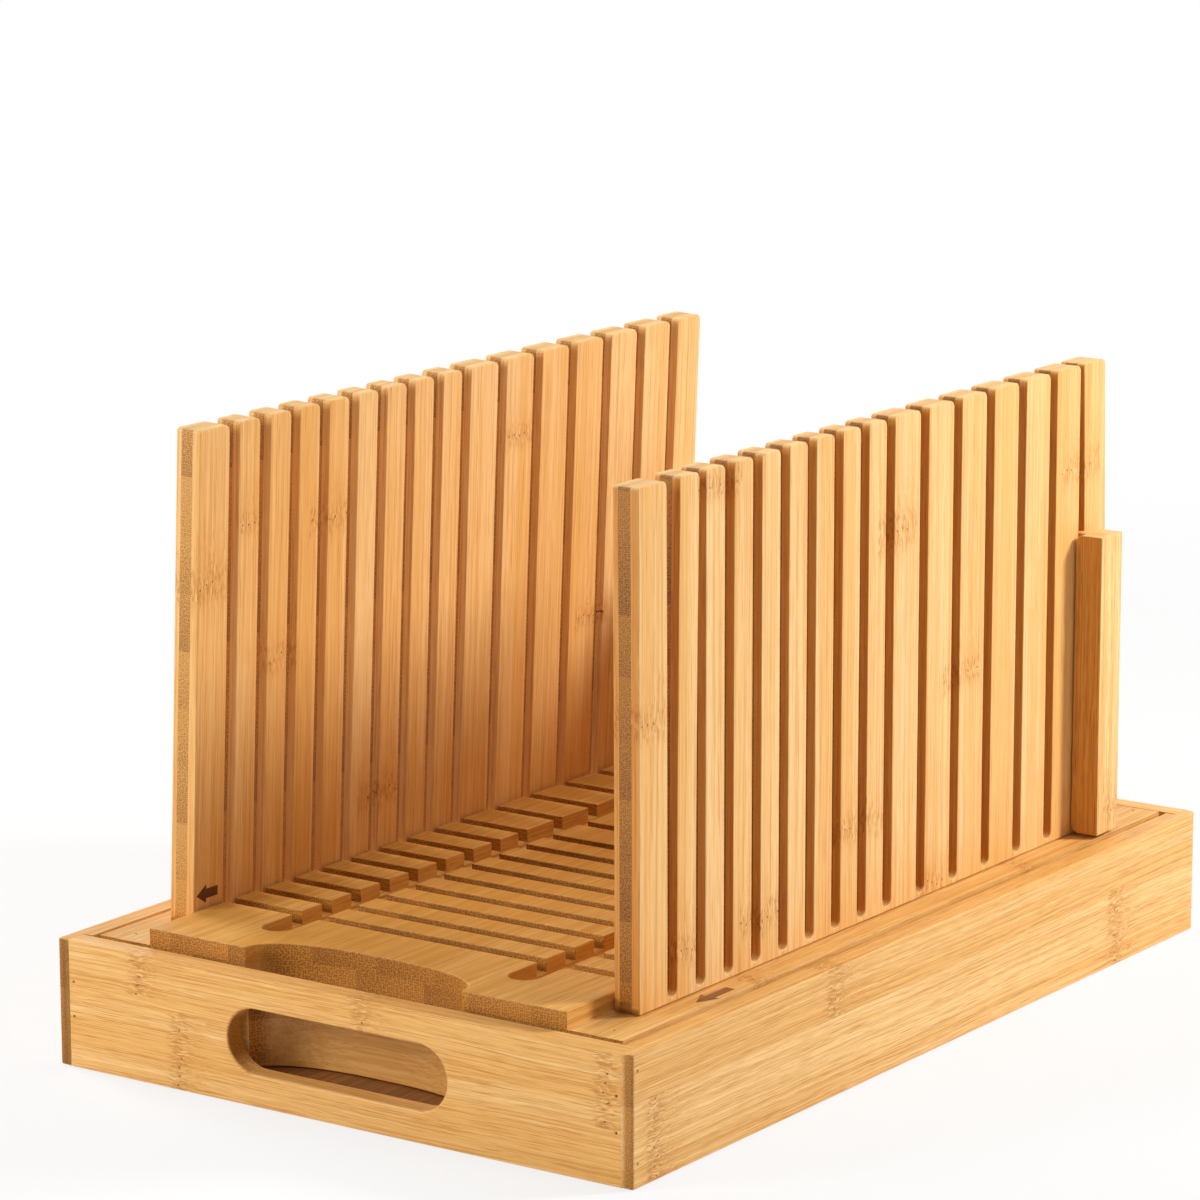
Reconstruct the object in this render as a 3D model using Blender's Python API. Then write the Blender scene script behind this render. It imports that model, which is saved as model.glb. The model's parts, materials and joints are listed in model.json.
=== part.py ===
"""Bamboo bread slicer guide: a crumb tray, a slotted base that drops into it, two slotted guides and a rear stop.

X runs across the width, +X to the right. Y runs along the length, with the front at -Y. Z is up, and the tray
stands on z = 0. All lengths are in metres.
"""

import math

import bmesh
import bpy
from mathutils import Matrix, Vector

# Crumb tray
tray_width = 0.2000
tray_length = 0.3115
tray_height = 0.0377
wall_thickness = 0.0070
lap_depth = 0.0030
corner_radius = 0.0025
handle_length = 0.0762
handle_height = 0.0188

# Clearances between pieces that touch, and how far a cutter runs past what it cuts
joint_gap = 0.0003
cut_overrun = 0.0020

# Brads that pin the corners and the rails
brad_radius = 0.0005
brad_length = 0.0100
brad_clearance = 0.00015
brad_sink = 0.0003
side_brad_inset = 0.0021
side_brad_rise = 0.0070
side_brad_drop = 0.0049
end_brad_rise = 0.0151
end_brad_drop = 0.0123
rail_brad_inset_x = 0.0076
rail_brad_front_inset = 0.0068
rail_brad_rear_inset = 0.0030

# Base that drops into the tray
base_side_clearance = 0.0019
base_end_clearance = 0.0012
base_proud = 0.0003
base_thickness = 0.0070
rail_depth = 0.0200
platform_height = 0.0050
groove_depth = 0.0040
crumb_slot_width = 0.0030
crumb_slot_length = 0.0560
recess_width = 0.0754
recess_depth = 0.0137
recess_roundness_share = 2.4

# Guides, and the seats that hold them close together or far apart
guide_thickness = 0.0085
guide_height = 0.1461
guide_side_inset = 0.0088
guide_end_inset = 0.02085
guide_clearance = 0.0011
guide_core_share = 0.5
tongue_depth = 0.0050
tongue_end_inset = 0.0045
tongue_clearance = 0.0004
tongue_end_clearance = 0.0006
narrow_seat_x = 0.0432
narrow_seat_clearance = 0.00045
narrow_seat_end_clearance = 0.0036
knife_slot_width = 0.0046
knife_slot_floor = 0.0017
first_slat = 0.01347
narrow_slat = 0.0093
wide_slat = 0.01397
last_slat_least = 0.0125
narrow_slat_count = 8
slat_round = 0.0020
left_guide_lean = math.radians(2.4)

# Rear stop: a thin board in the last slots, with a post on each end
stop_thickness = 0.0036
stop_height = 0.0943
post_width = 0.0092
post_depth = 0.0125
post_offset = 0.0010
post_hover = 0.0011
post_guide_gap = 0.0006
post_groove_depth = 0.0070
post_round = 0.0025

# Facets on round shapes
arc_steps = 6
peg_sides = 8
recess_steps = 20

# Places that follow from those sizes
half_width = tray_width / 2
half_length = tray_length / 2
inner_half_width = half_width - wall_thickness
inner_half_length = half_length - wall_thickness
floor_top = wall_thickness - joint_gap
base_half_width = inner_half_width - base_side_clearance
base_half_length = inner_half_length - base_end_clearance
strip_top = tray_height + base_proud
base_bottom = strip_top - base_thickness
platform_top = strip_top + platform_height
guide_outer_x = base_half_width - guide_side_inset
guide_inner_x = guide_outer_x - guide_thickness
guide_middle_x = guide_outer_x - guide_thickness / 2
platform_width = 2 * (guide_inner_x - guide_clearance)
guide_half_length = base_half_length - guide_end_inset
guide_length = 2 * guide_half_length
guide_foot = strip_top + joint_gap
tongue_thickness = guide_thickness * guide_core_share
tongue_length = guide_length - 2 * tongue_end_inset
tongue_groove_width = tongue_thickness + 2 * tongue_clearance
tongue_groove_length = tongue_length + 2 * tongue_end_clearance
tongue_groove_depth = tongue_depth + joint_gap
seat_width = guide_thickness + 2 * narrow_seat_clearance
seat_length = guide_length + 2 * narrow_seat_end_clearance
slot_floor = strip_top + knife_slot_floor
slot_rise = knife_slot_width / 2 - math.sqrt(knife_slot_width ** 2 - stop_thickness ** 2) / 2
lean_rise = guide_thickness * math.sin(left_guide_lean)
stop_bottom = slot_floor + slot_rise + lean_rise + joint_gap
stop_top = strip_top + stop_height
post_bottom = strip_top + post_hover
post_inner_x = guide_outer_x + post_guide_gap
post_groove_width = stop_thickness + 2 * joint_gap
stop_half_width = post_inner_x + post_groove_depth - joint_gap


def slot_centres():
    """The Y of each knife slot, front to rear: close together first, then further apart for as far as they fit."""
    centre = -guide_half_length + first_slat + knife_slot_width / 2
    centres = [centre]
    narrow_length = first_slat + knife_slot_width + narrow_slat_count * (narrow_slat + knife_slot_width)
    wide_room = guide_length - narrow_length - last_slat_least
    wide_slat_count = int(wide_room / (wide_slat + knife_slot_width))
    for slat in [narrow_slat] * narrow_slat_count + [wide_slat] * wide_slat_count:
        centre += slat + knife_slot_width
        centres.append(centre)
    return centres


slots = slot_centres()
stop_y = slots[-1]
post_y = stop_y + post_offset


def clear_scene():
    for obj in list(bpy.data.objects):
        bpy.data.objects.remove(obj, do_unlink=True)


def new_collection(name):
    collection = bpy.data.collections.new(name)
    bpy.context.scene.collection.children.link(collection)
    return collection


def finish(name, colour, roughness, metallic=0.0):
    material = bpy.data.materials.new(name)
    material.use_nodes = True
    shader = material.node_tree.nodes["Principled BSDF"]
    shader.inputs["Base Color"].default_value = (*colour, 1.0)
    shader.inputs["Roughness"].default_value = roughness
    shader.inputs["Metallic"].default_value = metallic
    material.diffuse_color = (*colour, 1.0)
    return material


bamboo_colour = (0.68, 0.42, 0.19)
bamboo_light = (0.74, 0.48, 0.24)
bamboo_dark = (0.60, 0.36, 0.16)
brad_colour = (0.16, 0.11, 0.07)


def add_piece(name, mesh, place, colour=bamboo_colour, roughness=0.5, metallic=0.0):
    obj = bpy.data.objects.new(name, mesh)
    obj.location = place
    mesh.materials.append(finish(name, colour, roughness, metallic))
    pieces.objects.link(obj)
    return obj


def add_cutter(name, mesh, place=(0, 0, 0)):
    obj = bpy.data.objects.new(name, mesh)
    obj.location = place
    obj.hide_render = True
    obj.display_type = "WIRE"
    cutters.objects.link(obj)
    return obj


def cut(obj, cutter, operation="DIFFERENCE"):
    modifier = obj.modifiers.new(cutter.name, "BOOLEAN")
    modifier.operation = operation
    modifier.object = cutter
    modifier.solver = "EXACT"


def block_mesh(name, blocks):
    """Boxes in one mesh, each given by its size and its centre."""
    shape = bmesh.new()
    for size, centre in blocks:
        place = Matrix.Translation(centre) @ Matrix.Diagonal((*size, 1.0))
        bmesh.ops.create_cube(shape, size=1.0, matrix=place)
    mesh = bpy.data.meshes.new(name)
    shape.to_mesh(mesh)
    shape.free()
    return mesh


def peg_mesh(name, radius, pegs):
    """Round pegs in one mesh, each given by its length, its centre and the way it points."""
    shape = bmesh.new()
    for length, centre, way in pegs:
        turn = Vector(way).to_track_quat("Z", "Y").to_matrix().to_4x4()
        place = Matrix.Translation(centre) @ turn
        bmesh.ops.create_cone(shape, cap_ends=True, segments=peg_sides, radius1=radius, radius2=radius,
                              depth=length, matrix=place)
    mesh = bpy.data.meshes.new(name)
    shape.to_mesh(mesh)
    shape.free()
    return mesh


def outline_mesh(name, outlines, thickness, turn=Matrix.Identity(3)):
    """Closed outlines in the XY plane, made as thick as asked about that plane and turned into place."""
    curve = bpy.data.curves.new(name, "CURVE")
    curve.dimensions = "2D"
    curve.fill_mode = "BOTH"
    curve.extrude = thickness / 2
    for points in outlines:
        spline = curve.splines.new("POLY")
        spline.points.add(len(points) - 1)
        for point, (x, y) in zip(spline.points, points):
            point.co = (x, y, 0.0, 1.0)
        spline.use_cyclic_u = True
    holder = bpy.data.objects.new(name, curve)
    bpy.context.scene.collection.objects.link(holder)
    seen = holder.evaluated_get(bpy.context.evaluated_depsgraph_get())
    mesh = bpy.data.meshes.new_from_object(seen)
    bpy.data.objects.remove(holder, do_unlink=True)
    bpy.data.curves.remove(curve)
    shape = bmesh.new()
    shape.from_mesh(mesh)
    bmesh.ops.remove_doubles(shape, verts=shape.verts, dist=joint_gap / 30)
    bmesh.ops.transform(shape, matrix=turn.to_4x4(), verts=shape.verts)
    bmesh.ops.recalc_face_normals(shape, faces=shape.faces)
    shape.to_mesh(mesh)
    shape.free()
    return mesh


# Turns that stand an outline up: one seen from the side, with its points as (y, z), and one seen from the front,
# with its points as (x, z)
side_view = Matrix(((0, 0, 1), (1, 0, 0), (0, 1, 0)))
front_view = Matrix(((1, 0, 0), (0, 0, -1), (0, 1, 0)))


def arc(centre, radius, start, end, steps=arc_steps):
    """Points along an arc, with its angles in quarter turns."""
    points = []
    for step in range(steps + 1):
        angle = (start + (end - start) * step / steps) * math.pi / 2
        points.append((centre[0] + radius * math.cos(angle), centre[1] + radius * math.sin(angle)))
    return points


def stadium(length, width, centre=(0.0, 0.0)):
    """A slot's outline with round ends, long along the first axis."""
    straight = (length - width) / 2
    radius = width / 2
    right = arc((centre[0] + straight, centre[1]), radius, -1, 1)
    left = arc((centre[0] - straight, centre[1]), radius, 1, 3)
    return right + left


def turned(points):
    return [(y, x) for x, y in points]


def recess_outline(side):
    """The finger recess, open past the end of the base, on the front (-1) or the rear (+1)."""
    edge = side * base_half_length
    half = recess_width / 2
    points = [(half, edge + side * cut_overrun)]
    for step in range(recess_steps + 1):
        angle = math.pi * step / recess_steps
        power = 2 / recess_roundness_share
        x = half * math.copysign(abs(math.cos(angle)) ** power, math.cos(angle))
        points.append((x, edge - side * recess_depth * abs(math.sin(angle)) ** power))
    points.append((-half, edge + side * cut_overrun))
    return points


def shade_round(obj):
    obj.data.shade_smooth()
    obj.data.set_sharp_from_angle(angle=math.radians(40))


def make_brads(kind, brads):
    """One brad for each place, given by its length, centre and way."""
    for number, (length, centre, way) in enumerate(brads, 1):
        mesh = peg_mesh(f"{kind}_{number}", brad_radius, [(length, (0, 0, 0), way)])
        brad = add_piece(f"{kind}_{number}", mesh, centre, brad_colour, 0.4, 0.8)
        shade_round(brad)


def brad_holes(name, brads):
    """Holes for brads, run past the face that their heads sit in and a little past their points."""
    holes = []
    for length, centre, way in brads:
        out = -Vector(way)
        depth = length + cut_overrun + joint_gap
        holes.append((depth, Vector(centre) + out * (cut_overrun - joint_gap) / 2, way))
    return add_cutter(name, peg_mesh(name, brad_radius + brad_clearance, holes))


def corner_brads():
    """Brads at the four corners: through the sides into the end panels, and through the end panels into the sides."""
    side = []
    end = []
    side_heights = (side_brad_rise, tray_height - side_brad_drop)
    end_heights = (end_brad_rise, tray_height - end_brad_drop)
    reach = brad_sink + brad_length / 2
    for x in (-1, 1):
        for y in (-1, 1):
            for z in side_heights:
                place = (x * (half_width - reach), y * (half_length - side_brad_inset), z)
                side.append((brad_length, place, (-x, 0, 0)))
            for z in end_heights:
                place = (x * (inner_half_width + lap_depth / 2), y * (half_length - reach), z)
                end.append((brad_length, place, (0, -y, 0)))
    return side, end


def rail_brads():
    """Brads from the top of the base board into the rails."""
    brads = []
    for x in (-1, 1):
        for y in (-base_half_length + rail_brad_front_inset, base_half_length - rail_brad_rear_inset):
            place = (x * (base_half_width - rail_brad_inset_x), y, strip_top - brad_sink - brad_length / 2)
            brads.append((brad_length, place, (0, 0, -1)))
    return brads


def make_tray():
    side_brads, end_brads = corner_brads()
    all_holes = brad_holes("tray_brad_holes", side_brads + end_brads)

    lap_half_length = half_length - inner_half_length
    laps = []
    for x in (-1, 1):
        for y in (-1, 1):
            size = (wall_thickness, lap_half_length + cut_overrun, tray_height + 2 * cut_overrun)
            centre = (x * (inner_half_width + lap_depth - wall_thickness / 2),
                      y * (half_length + cut_overrun / 2 - lap_half_length / 2),
                      tray_height / 2)
            laps.append((size, centre))
    lap_cutter = add_cutter("corner_laps", block_mesh("corner_laps", laps))

    for name, x in (("tray_left_panel", -1), ("tray_right_panel", 1)):
        shape = bmesh.new()
        bmesh.ops.create_cube(shape, size=1.0, matrix=Matrix.Diagonal((wall_thickness, tray_length, tray_height, 1)))
        corners = [edge for edge in shape.edges
                   if all(vert.co.x * x > 0 for vert in edge.verts)
                   and edge.verts[0].co.y == edge.verts[1].co.y
                   and edge.verts[0].co.z != edge.verts[1].co.z]
        bmesh.ops.bevel(shape, geom=corners, offset=corner_radius, segments=arc_steps, profile=0.5,
                        affect="EDGES")
        mesh = bpy.data.meshes.new(name)
        shape.to_mesh(mesh)
        shape.free()
        panel = add_piece(name, mesh, (x * (half_width - wall_thickness / 2), 0, tray_height / 2))
        cut(panel, lap_cutter)
        cut(panel, all_holes)
        shade_round(panel)

    handles = []
    for y in (-1, 1):
        handle = outline_mesh("handle_slot", [stadium(handle_length, handle_height)],
                              wall_thickness + 2 * cut_overrun, front_view)
        place = (0, y * (half_length - wall_thickness / 2), tray_height / 2)
        handles.append(add_cutter("handle_slot", handle, place))
    panel_width = 2 * (inner_half_width + lap_depth - joint_gap)
    panel_depth = wall_thickness - joint_gap
    for name, y, handle in (("tray_front_panel", -1, handles[0]), ("tray_back_panel", 1, handles[1])):
        mesh = block_mesh(name, [((panel_width, panel_depth, tray_height), (0, 0, 0))])
        panel = add_piece(name, mesh, (0, y * (half_length - panel_depth / 2), tray_height / 2), bamboo_light)
        cut(panel, handle)
        cut(panel, all_holes)
        shade_round(panel)

    size = (2 * (inner_half_width - joint_gap), 2 * (inner_half_length - joint_gap), floor_top)
    add_piece("tray_floor", block_mesh("tray_floor", [(size, (0, 0, 0))]), (0, 0, floor_top / 2), bamboo_dark)

    make_brads("side_brad", side_brads)
    make_brads("end_brad", end_brads)


def make_base(holder):
    brads = rail_brads()
    holes = brad_holes("rail_brad_holes", brads)
    recess_height = platform_top + 2 * cut_overrun
    recesses = add_cutter("finger_recesses",
                          outline_mesh("finger_recesses", [recess_outline(-1), recess_outline(1)], recess_height),
                          (0, 0, recess_height / 2))

    board_size = (2 * base_half_width, 2 * base_half_length, base_thickness)
    board = add_piece("base_board", block_mesh("base_board", [(board_size, (0, 0, 0))]),
                      (0, 0, strip_top - base_thickness / 2))
    grooves = []
    for x in (-guide_middle_x, -narrow_seat_x, narrow_seat_x, guide_middle_x):
        size = (tongue_groove_width, tongue_groove_length, tongue_groove_depth + cut_overrun)
        centre = (x, 0, strip_top + (cut_overrun - tongue_groove_depth) / 2)
        grooves.append((size, centre))
    cut(board, add_cutter("tongue_grooves", block_mesh("tongue_grooves", grooves)))
    crumb_height = base_thickness + platform_height + 2 * cut_overrun
    crumb_slots = []
    for y in slots:
        crumb_slots.append(((crumb_slot_length, crumb_slot_width, crumb_height),
                            (0, y, base_bottom - cut_overrun + crumb_height / 2)))
    crumb_cutter = add_cutter("crumb_slots", block_mesh("crumb_slots", crumb_slots))
    cut(board, crumb_cutter)
    cut(board, recesses)
    cut(board, holes)

    thickness = platform_height - joint_gap
    size = (platform_width, 2 * base_half_length, thickness)
    platform = add_piece("platform", block_mesh("platform", [(size, (0, 0, 0))]),
                         (0, 0, platform_top - thickness / 2), bamboo_light)
    seats = []
    for x in (-narrow_seat_x, narrow_seat_x):
        seats.append(turned(stadium(seat_length, seat_width, (0.0, x))))
    seat_height = platform_height + cut_overrun
    seat_cutter = add_cutter("narrow_seats", outline_mesh("narrow_seats", seats, seat_height),
                             (0, 0, strip_top + seat_height / 2))
    cut(platform, seat_cutter)
    cross = []
    for y in slots:
        cross.append(((platform_width + 2 * cut_overrun, knife_slot_width, groove_depth + cut_overrun),
                      (0, y, platform_top + (cut_overrun - groove_depth) / 2)))
    cut(platform, add_cutter("cross_grooves", block_mesh("cross_grooves", cross)))
    cut(platform, crumb_cutter)
    cut(platform, recesses)

    rail_bottom = floor_top + joint_gap
    rail_height = base_bottom - joint_gap - rail_bottom
    for name, y in (("front_rail", -1), ("rear_rail", 1)):
        mesh = block_mesh(name, [((2 * base_half_width, rail_depth, rail_height), (0, 0, 0))])
        rail = add_piece(name, mesh, (0, y * (base_half_length - rail_depth / 2), rail_bottom + rail_height / 2),
                         bamboo_dark)
        cut(rail, recesses)
        cut(rail, holes)
        shade_round(rail)
        attach(rail, holder)
    make_brads("rail_brad", brads)
    for number in range(1, len(brads) + 1):
        attach(bpy.data.objects[f"rail_brad_{number}"], holder)
    for obj in (board, platform):
        shade_round(obj)
        attach(obj, holder)


def guide_outline():
    """The side view of a guide, as a comb with round slot floors and rounded slat tops."""
    top = guide_height - joint_gap
    floor = knife_slot_floor - joint_gap
    radius = knife_slot_width / 2
    points = [(guide_half_length, 0.0)]
    end = guide_half_length
    for y in reversed(slots):
        start = y + radius
        points += arc((end - slat_round, top - slat_round), slat_round, 0, 1, arc_steps // 2)
        points += arc((start + slat_round, top - slat_round), slat_round, 1, 2, arc_steps // 2)
        points += arc((y, floor + radius), radius, 0, -2)
        end = y - radius
    points += arc((end - slat_round, top - slat_round), slat_round, 0, 1, arc_steps // 2)
    points += arc((-guide_half_length + slat_round, top - slat_round), slat_round, 1, 2, arc_steps // 2)
    points.append((-guide_half_length, 0.0))
    return points


def make_guide(name, side, lean):
    """A slotted guide on the left (-1) or the right (+1), with its origin on the inner edge of its foot."""
    place = Vector((side * guide_inner_x, 0, guide_foot))
    mesh = outline_mesh(name, [guide_outline()], guide_thickness, side_view)
    mesh.transform(Matrix.Translation((side * guide_thickness / 2, 0, 0)))
    guide = add_piece(name, mesh, place)
    guide.rotation_euler.y = lean
    tongue_height = tongue_depth + knife_slot_floor / 2
    size = (tongue_thickness, tongue_length, tongue_height)
    centre = (side * guide_thickness / 2, 0, knife_slot_floor / 2 - tongue_height / 2)
    tongue = add_cutter(f"{name}_tongue", block_mesh(f"{name}_tongue", [(size, centre)]), place)
    tongue.rotation_euler.y = lean
    cut(guide, tongue, "UNION")
    shade_round(guide)
    return guide


def post_outline(side):
    """The front view of a post: its inner corners are rounded, so that it drops beside the guide easily."""
    half = post_width / 2
    height = stop_top - post_bottom
    points = [(half, 0.0), (half, height)]
    points += arc((-half + post_round, height - post_round), post_round, 1, 2, arc_steps)
    points += arc((-half + post_round, post_round), post_round, 2, 3, arc_steps)
    return [(side * x, z) for x, z in points]


def make_stop(holder):
    size = (2 * stop_half_width, stop_thickness, stop_top - stop_bottom)
    board = add_piece("rear_stop_board", block_mesh("rear_stop_board", [(size, (0, 0, 0))]),
                      (0, stop_y, (stop_top + stop_bottom) / 2), bamboo_light)
    attach(board, holder)
    grooves = []
    height = stop_top - post_bottom + 2 * cut_overrun
    for side in (-1, 1):
        size = (post_groove_depth + cut_overrun, post_groove_width, height)
        centre = (side * (post_inner_x + (post_groove_depth - cut_overrun) / 2), stop_y,
                  post_bottom - cut_overrun + height / 2)
        grooves.append((size, centre))
    groove_cutter = add_cutter("post_grooves", block_mesh("post_grooves", grooves))
    for name, side in (("rear_stop_left_post", -1), ("rear_stop_right_post", 1)):
        mesh = outline_mesh(name, [post_outline(side)], post_depth, front_view)
        post = add_piece(name, mesh, (side * (post_inner_x + post_width / 2), post_y, post_bottom))
        cut(post, groove_cutter)
        shade_round(post)
        attach(post, holder)


def add_holder(name, place):
    """An empty on a lifting axis, which carries the pieces that lift together."""
    holder = bpy.data.objects.new(name, None)
    holder.location = place
    holder.empty_display_size = wall_thickness
    pieces.objects.link(holder)
    return holder


def attach(obj, holder):
    """Hang a piece on its holder without moving it."""
    origin = holder.location.copy()
    above = holder.parent
    while above:
        origin += above.location
        above = above.parent
    obj.parent = holder
    obj.location -= origin


clear_scene()
pieces = new_collection("bread_slicer_guide")
cutters = new_collection("cutters")

make_tray()
base_holder = add_holder("base_lift_axis", (0, 0, floor_top))
make_base(base_holder)
left_guide = make_guide("left_guide", -1, left_guide_lean)
attach(left_guide, base_holder)
right_guide = make_guide("right_guide", 1, 0.0)
attach(right_guide, base_holder)
stop_holder = add_holder("rear_stop_lift_axis", (0, stop_y, stop_bottom))
attach(stop_holder, base_holder)
make_stop(stop_holder)
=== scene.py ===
import json
import math

import bmesh
import bpy
from mathutils import Matrix, Vector


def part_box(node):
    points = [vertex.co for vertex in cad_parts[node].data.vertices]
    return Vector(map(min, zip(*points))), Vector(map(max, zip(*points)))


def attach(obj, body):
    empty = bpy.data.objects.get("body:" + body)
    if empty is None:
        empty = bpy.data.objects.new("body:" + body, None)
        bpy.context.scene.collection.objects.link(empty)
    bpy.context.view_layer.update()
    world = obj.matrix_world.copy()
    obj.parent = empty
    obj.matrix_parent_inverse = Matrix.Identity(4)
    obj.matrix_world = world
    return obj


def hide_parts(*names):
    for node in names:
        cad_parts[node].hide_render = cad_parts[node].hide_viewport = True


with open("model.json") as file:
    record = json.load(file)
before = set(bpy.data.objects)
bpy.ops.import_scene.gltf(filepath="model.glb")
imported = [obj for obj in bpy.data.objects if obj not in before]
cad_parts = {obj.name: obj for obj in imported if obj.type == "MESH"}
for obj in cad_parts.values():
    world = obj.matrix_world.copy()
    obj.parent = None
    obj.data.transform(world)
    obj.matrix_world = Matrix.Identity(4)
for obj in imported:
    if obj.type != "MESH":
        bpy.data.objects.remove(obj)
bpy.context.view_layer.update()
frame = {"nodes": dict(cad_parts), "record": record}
print("frame loaded,", len(frame["nodes"]), "solids")

mm = 0.001

# the photograph's viewpoint, in degrees and millimetres
cameraView = {
    "azimuth": 35.056, "elevation": 12.276, "roll": -0.156,
    "distance": 1555.22, "focal": 5160.372, "frameWidth": 1200,
    "aside": (20.473, -116.777),            # how far the origin lies off the optical axis
    "middle": (-15.519, 4.891),             # how far it lies off the picture's middle, in pixels
}


def addCamera(view):
    azimuth, elevation, roll = (math.radians(view[key]) for key in ("azimuth", "elevation", "roll"))
    back = Vector((math.sin(azimuth) * math.cos(elevation), -math.cos(azimuth) * math.cos(elevation),
                   math.sin(elevation)))
    level = Vector((math.cos(azimuth), math.sin(azimuth), 0))
    upright = back.cross(level)
    right = math.cos(roll) * level + math.sin(roll) * upright
    up = math.cos(roll) * upright - math.sin(roll) * level
    lens = bpy.data.cameras.new("camera")
    lens.sensor_width = 36
    lens.lens = view["focal"] / view["frameWidth"] * lens.sensor_width
    lens.shift_x = -view["middle"][0] / view["frameWidth"]
    lens.shift_y = view["middle"][1] / view["frameWidth"]
    lens.clip_start = 0.05
    lens.clip_end = 20
    camera = bpy.data.objects.new("camera", lens)
    bpy.context.scene.collection.objects.link(camera)
    place = (back * view["distance"] - right * view["aside"][0] - up * view["aside"][1]) * mm
    camera.matrix_world = Matrix.Translation(place) @ Matrix((right, up, back)).transposed().to_4x4()
    bpy.context.scene.camera = camera


addCamera(cameraView)
print("camera placed")


# outlines lie in a plane, with the wood on the left of the way they run

def arcPoints(centre, radius, start, end, steps=12):
    # along an arc, with its angles in quarter turns
    points = []
    for step in range(steps + 1):
        angle = (start + (end - start) * step / steps) * math.pi / 2
        points.append(Vector((centre[0] + radius * math.cos(angle), centre[1] + radius * math.sin(angle))))
    return points


def rectangle(low, high):
    return [Vector(low), Vector((high[0], low[1])), Vector(high), Vector((low[0], high[1]))]


def roundSlot(centre, length, width, steps=20):
    # a slot with round ends, long along the first axis
    straight, radius = (length - width) / 2, width / 2
    return (arcPoints((centre[0] + straight, centre[1]), radius, -1, 1, steps)
            + arcPoints((centre[0] - straight, centre[1]), radius, 1, 3, steps))


def swapped(points):
    # mirrored in the diagonal, which also turns an outline into a hole
    return [Vector((point.y, point.x)) for point in points]


def moveInward(points, distance):
    moved = []
    for number, point in enumerate(points):
        before = (point - points[number - 1]).normalized()
        after = (points[(number + 1) % len(points)] - point).normalized()
        sideways = Vector((-before.y - after.y, before.x + after.x))
        moved.append(point + sideways * distance / (1 + before.dot(after)))
    return moved


def rimCourse(radius, steps=3):
    # down and inward along a rounded rim, from the flat face to the side
    if not radius:
        return [(0, 0)]
    angles = [math.pi / 2 * step / steps for step in range(steps + 1)]
    return [(radius * (1 - math.cos(angle)), radius * (1 - math.sin(angle))) for angle in angles]


def inSpace(axis, depth, point):
    u, v = point
    return Vector({"x": (depth, u, v), "y": (u, depth, v), "z": (u, v, depth)}[axis])


def plateShape(axis, low, high, loops, rims, seams=()):
    # a board cut to its outlines, square to an axis: every outline has rounded rims, every seam starts a ply
    shape = bmesh.new()
    caps = ([], [])
    for loop, rim in zip(loops, rims):
        course = rimCourse(rim)
        stations = [(low + down, inward) for down, inward in course]
        stations += [(seam, 0) for seam in seams]
        stations += [(high - down, inward) for down, inward in reversed(course)]
        rows = []
        for depth, inward in stations:
            ring = moveInward(loop, inward)
            rows.append([shape.verts.new(inSpace(axis, depth, point)) for point in ring])
        for number in range(len(rows) - 1):
            near, far = rows[number], rows[number + 1]
            middle = (stations[number][0] + stations[number + 1][0]) / 2
            for corner in range(len(near)):
                following = (corner + 1) % len(near)
                face = shape.faces.new((near[corner], near[following], far[following], far[corner]))
                face.material_index = sum(middle > seam for seam in seams)
        for cap, row in zip(caps, (rows[0], rows[-1])):
            cap += [shape.edges.get((row[corner - 1], row[corner])) for corner in range(len(row))]
    for cap, layer in zip(caps, (0, len(seams))):
        filled = bmesh.ops.triangle_fill(shape, use_beauty=True, edges=cap)
        for face in filled["geom"]:
            if isinstance(face, bmesh.types.BMFace):
                face.material_index = layer
    bmesh.ops.recalc_face_normals(shape, faces=shape.faces)
    return shape


def boxes(*corners):
    shape = bmesh.new()
    for low, high in corners:
        size, middle = Vector(high) - Vector(low), (Vector(high) + Vector(low)) / 2
        bmesh.ops.create_cube(shape, size=1, matrix=Matrix.Translation(middle) @ Matrix.Diagonal((*size, 1)))
    return shape


def turnedShape(profile, sides=16):
    # rings about Z from (radius, height) pairs, closed at both ends
    shape = bmesh.new()
    rows = []
    for radius, height in profile:
        angles = [2 * math.pi * side / sides for side in range(sides)]
        rows.append([shape.verts.new((radius * math.cos(a), radius * math.sin(a), height)) for a in angles])
    for near, far in zip(rows, rows[1:]):
        for side in range(sides):
            following = (side + 1) % sides
            shape.faces.new((near[side], near[following], far[following], far[side]))
    shape.faces.new(reversed(rows[0]))
    shape.faces.new(rows[-1])
    bmesh.ops.recalc_face_normals(shape, faces=shape.faces)
    return shape


def asMesh(name, shape):
    mesh = bpy.data.meshes.new(name)
    shape.to_mesh(mesh)
    shape.free()
    return mesh


def carve(mesh, cutterShape):
    scene = bpy.context.scene.collection
    work = bpy.data.objects.new("work", mesh)
    cutter = bpy.data.objects.new("cutter", asMesh("cutter", cutterShape))
    scene.objects.link(work)
    scene.objects.link(cutter)
    step = work.modifiers.new("carve", "BOOLEAN")
    step.operation = "DIFFERENCE"
    step.solver = "EXACT"
    step.object = cutter
    carved = bpy.data.meshes.new_from_object(work.evaluated_get(bpy.context.evaluated_depsgraph_get()))
    carved.name = mesh.name
    for used in (work, cutter):
        bpy.data.objects.remove(used, do_unlink=True)
    tidied = bmesh.new()
    tidied.from_mesh(carved)
    bmesh.ops.dissolve_limit(tidied, angle_limit=math.radians(0.5), verts=tidied.verts, edges=tidied.edges)
    tidied.to_mesh(carved)
    tidied.free()
    return carved


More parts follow.
